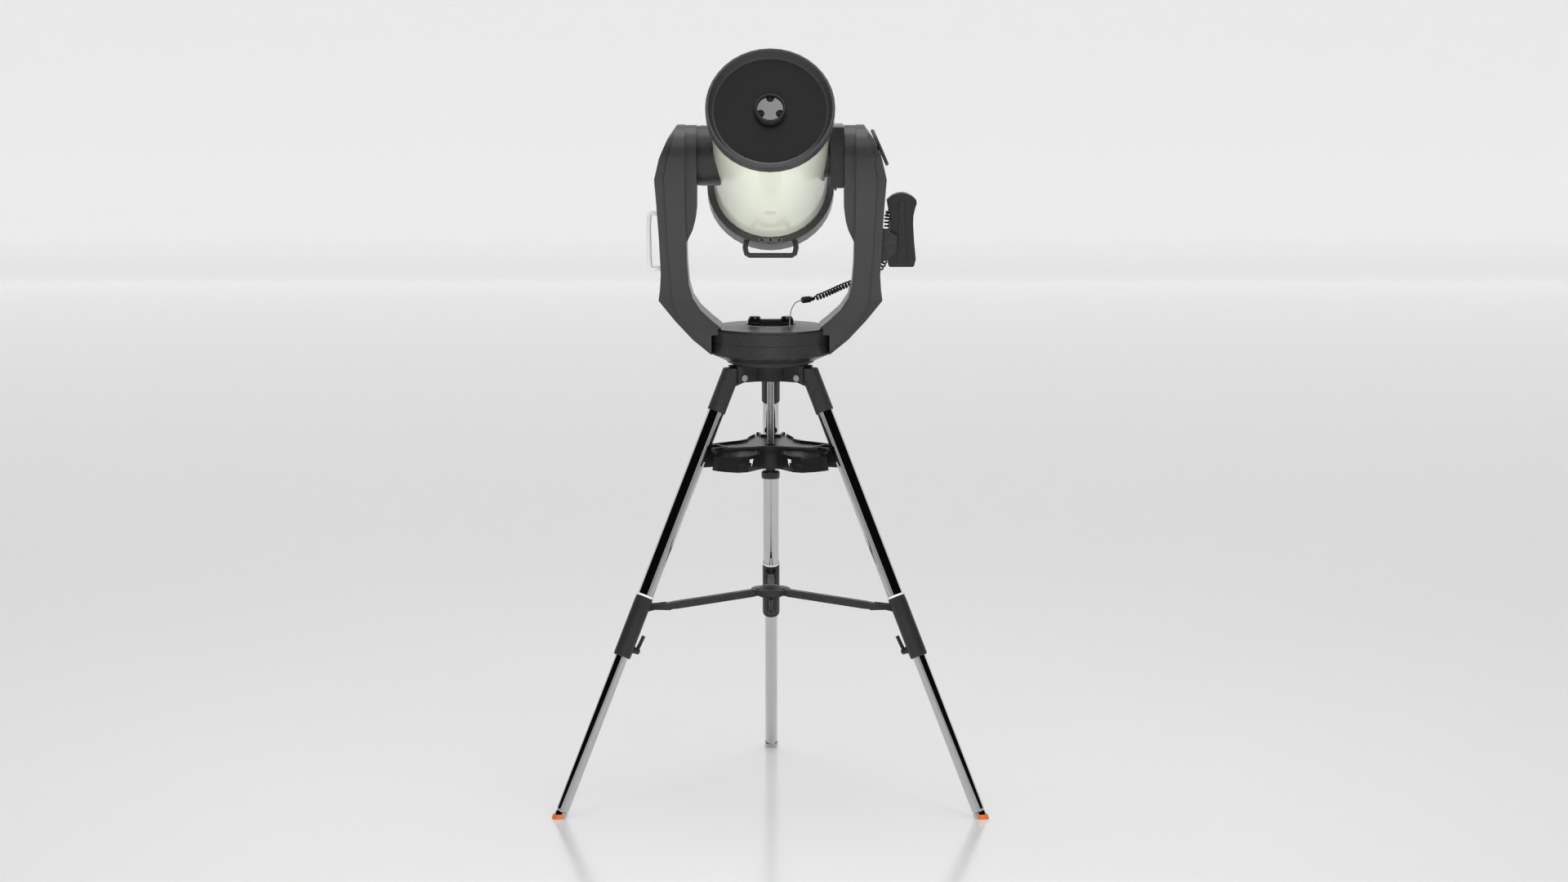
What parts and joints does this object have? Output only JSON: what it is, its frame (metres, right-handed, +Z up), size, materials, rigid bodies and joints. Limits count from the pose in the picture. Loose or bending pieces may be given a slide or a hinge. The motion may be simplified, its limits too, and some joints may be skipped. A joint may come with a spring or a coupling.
{
  "type": "schmidt cassegrain telescope",
  "caption": "Fork-mounted compound telescope on a folding field tripod with an accessory tray, a leg brace, a carry handle and a corded hand control.",
  "frame": {"origin": "on the floor under the azimuth axis", "axes": "+Z up; the optical tube points towards -Y and 27.5 degrees up; +X is the side of the hand control"},
  "size_m": [0.9548, 0.8471, 1.6818],
  "materials": {
    "casting": "semi-gloss black paint",
    "visual_back": "black anodised",
    "chrome_tube": "polished",
    "bolt_steel": "bright zinc",
    "black_plastic": "satin moulding",
    "gloss_black": "gloss",
    "cream_paint": "pale green-cream gloss",
    "orange_foot": "moulded",
    "corrector_glass": "coated, reads dark",
    "mirror_coat": "aluminised",
    "gear_brass": "machined",
    "black_rubber": "matte",
    "key_rubber": "matte"
  },
  "bodies": {
    "tripod": {"tripod_head": "casting", "leg_pivot_bolt_left": "bolt_steel", "leg_pivot_bolt_right": "bolt_steel", "leg_pivot_bolt_rear": "bolt_steel", "tension_rod": "chrome_tube", "tray": "black_plastic", "drive_base": "casting", "azimuth_gear": "gear_brass"},
    "tray_nut": {"tray_knob": "black_plastic"},
    "brace": {"brace_hub": "casting"},
    "fork": {"fork_base": "black_plastic", "base_top_cover": "black_plastic", "arm_left": "black_plastic", "arm_right": "black_plastic", "arm_left_cover": "black_plastic", "arm_right_cover": "black_plastic", "carry_handle": "chrome_tube", "altitude_drive_housing": "black_plastic", "handset_holder": "casting", "handset_cord": "black_rubber"},
    "azimuth_knob": {"azimuth_lock_knob": "gloss_black"},
    "altitude_knob": {"altitude_lock_knob": "black_plastic"},
    "optics": {"main_tube": "cream_paint", "front_cell": "casting", "corrector_plate": "corrector_glass", "secondary_housing": "casting", "secondary_cover": "bolt_steel", "secondary_mirror": "mirror_coat", "rear_cell": "casting", "rear_handle": "black_plastic", "baffle_tube": "casting", "visual_back": "visual_back", "trunnion_left": "black_plastic", "trunnion_right": "casting", "altitude_gear": "gear_brass"},
    "mirror": {"primary_mirror": "mirror_coat"},
    "focuser": {"focus_knob": "black_rubber"},
    "hand_control": {"handset": "black_plastic"},
    "keys": {"keypad": "key_rubber"},
    "leg_rear": {"leg_bracket_rear": "casting", "leg_tube_rear": "chrome_tube", "leg_clamp_rear": "casting"},
    "lower_rear": {"lower_leg_rear": "chrome_tube", "foot_rear": "orange_foot"},
    "lock_rear": {"leg_lock_rear": "black_plastic"},
    "brace_rear": {"brace_arm_rear": "casting"},
    "leg_left": {"leg_bracket_left": "casting", "leg_tube_left": "chrome_tube", "leg_clamp_left": "casting"},
    "lower_left": {"lower_leg_left": "chrome_tube", "foot_left": "orange_foot"},
    "lock_left": {"leg_lock_left": "black_plastic"},
    "brace_left": {"brace_arm_left": "casting"},
    "leg_right": {"leg_bracket_right": "casting", "leg_tube_right": "chrome_tube", "leg_clamp_right": "casting"},
    "lower_right": {"lower_leg_right": "chrome_tube", "foot_right": "orange_foot"},
    "lock_right": {"leg_lock_right": "black_plastic"},
    "brace_right": {"brace_arm_right": "casting"}
  },
  "joints": [
    {"name": "azimuth_turn", "type": "hinge", "parent": "tripod", "child": "fork", "pos_m": [0, 0, 1], "axis": [0, 0, 1], "continuous": true},
    {"name": "altitude_tilt", "type": "hinge", "parent": "fork", "child": "optics", "pos_m": [0, 0, 1.4367], "axis": [-1, 0, 0], "range_deg": [-47.5, 62.5]},
    {"name": "leg_fold_rear", "type": "hinge", "parent": "tripod", "child": "leg_rear", "pos_m": [0, 0.0816, 0.948], "axis": [-1, 0, 0], "range_deg": [0, 8]},
    {"name": "leg_length_rear", "type": "slide", "parent": "leg_rear", "child": "lower_rear", "axis": [0, -0.4124, 0.911], "range_m": [-0.15, 0.34]},
    {"name": "leg_lock_turn_rear", "type": "hinge", "parent": "leg_rear", "child": "lock_rear", "pos_m": [0, 0.36879, 0.36713], "axis": [0, -0.911, -0.4124], "range_deg": [0, 120]},
    {"name": "brace_hinge_rear", "type": "hinge", "parent": "brace", "child": "brace_rear", "pos_m": [0, 0.0365, 0.461], "axis": [-1, 0, 0], "range_deg": [0, 43.9]},
    {"name": "leg_fold_left", "type": "hinge", "parent": "tripod", "child": "leg_left", "pos_m": [-0.07067, -0.0408, 0.948], "axis": [0.5, -0.866, 0], "range_deg": [0, 8]},
    {"name": "leg_length_left", "type": "slide", "parent": "leg_left", "child": "lower_left", "axis": [0.3572, 0.2062, 0.911], "range_m": [-0.15, 0.34]},
    {"name": "leg_lock_turn_left", "type": "hinge", "parent": "leg_left", "child": "lock_left", "pos_m": [-0.31938, -0.1844, 0.36713], "axis": [0.7889, 0.4555, -0.4124], "range_deg": [0, 120]},
    {"name": "brace_hinge_left", "type": "hinge", "parent": "brace", "child": "brace_left", "pos_m": [-0.03161, -0.01825, 0.461], "axis": [0.5, -0.866, 0], "range_deg": [0, 43.9]},
    {"name": "leg_fold_right", "type": "hinge", "parent": "tripod", "child": "leg_right", "pos_m": [0.07067, -0.0408, 0.948], "axis": [0.5, 0.866, 0], "range_deg": [0, 8]},
    {"name": "leg_length_right", "type": "slide", "parent": "leg_right", "child": "lower_right", "axis": [-0.3572, 0.2062, 0.911], "range_m": [-0.15, 0.34]},
    {"name": "leg_lock_turn_right", "type": "hinge", "parent": "leg_right", "child": "lock_right", "pos_m": [0.31938, -0.1844, 0.36713], "axis": [-0.7889, 0.4555, -0.4124], "range_deg": [0, 120]},
    {"name": "brace_hinge_right", "type": "hinge", "parent": "brace", "child": "brace_right", "pos_m": [0.03161, -0.01825, 0.461], "axis": [0.5, 0.866, 0], "range_deg": [0, 43.9]},
    {"name": "brace_rise", "type": "slide", "parent": "tripod", "child": "brace", "axis": [0, 0, 1], "range_m": [0, 0.1335]},
    {"name": "tray_knob_turn", "type": "hinge", "parent": "tripod", "child": "tray_nut", "pos_m": [0, 0, 0.725], "axis": [0, 0, 1], "continuous": true},
    {"name": "azimuth_lock_turn", "type": "hinge", "parent": "fork", "child": "azimuth_knob", "pos_m": [0, 0, 1.06], "axis": [0, 0, 1], "range_deg": [0, 60]},
    {"name": "altitude_lock_turn", "type": "hinge", "parent": "fork", "child": "altitude_knob", "pos_m": [0.2372, 0, 1.4527], "axis": [0.9143, 0, 0.4051], "range_deg": [0, 90]},
    {"name": "focus_turn", "type": "hinge", "parent": "optics", "child": "focuser", "pos_m": [0.062, 0.22564, 1.28542], "axis": [0, 0.887, -0.4617], "range_deg": [-2880, 2880]},
    {"name": "mirror_focus", "type": "slide", "parent": "optics", "child": "mirror", "axis": [0, -0.887, 0.4617], "range_m": [-0.01, 0.01]},
    {"name": "hand_control_lift", "type": "slide", "parent": "fork", "child": "hand_control", "axis": [0, 0, 1], "range_m": [0, 0.06]},
    {"name": "keypad_press", "type": "slide", "parent": "hand_control", "child": "keys", "axis": [0, -1, 0], "range_m": [0, 0.0007], "stiffness_N_per_m": 800}
  ],
  "couplings": [
    {"joint": "leg_fold_left", "follows": "leg_fold_rear", "ratio": 1},
    {"joint": "leg_fold_right", "follows": "leg_fold_rear", "ratio": 1},
    {"joint": "brace_rise", "follows": "leg_fold_rear", "m_per_rad": 0.9547},
    {"joint": "brace_hinge_left", "follows": "leg_fold_rear", "ratio": 5.477},
    {"joint": "brace_hinge_right", "follows": "leg_fold_rear", "ratio": 5.477},
    {"joint": "brace_hinge_rear", "follows": "leg_fold_rear", "ratio": 5.477},
    {"joint": "focus_turn", "follows": "mirror_focus", "rad_per_m": 5026.5}
  ]
}
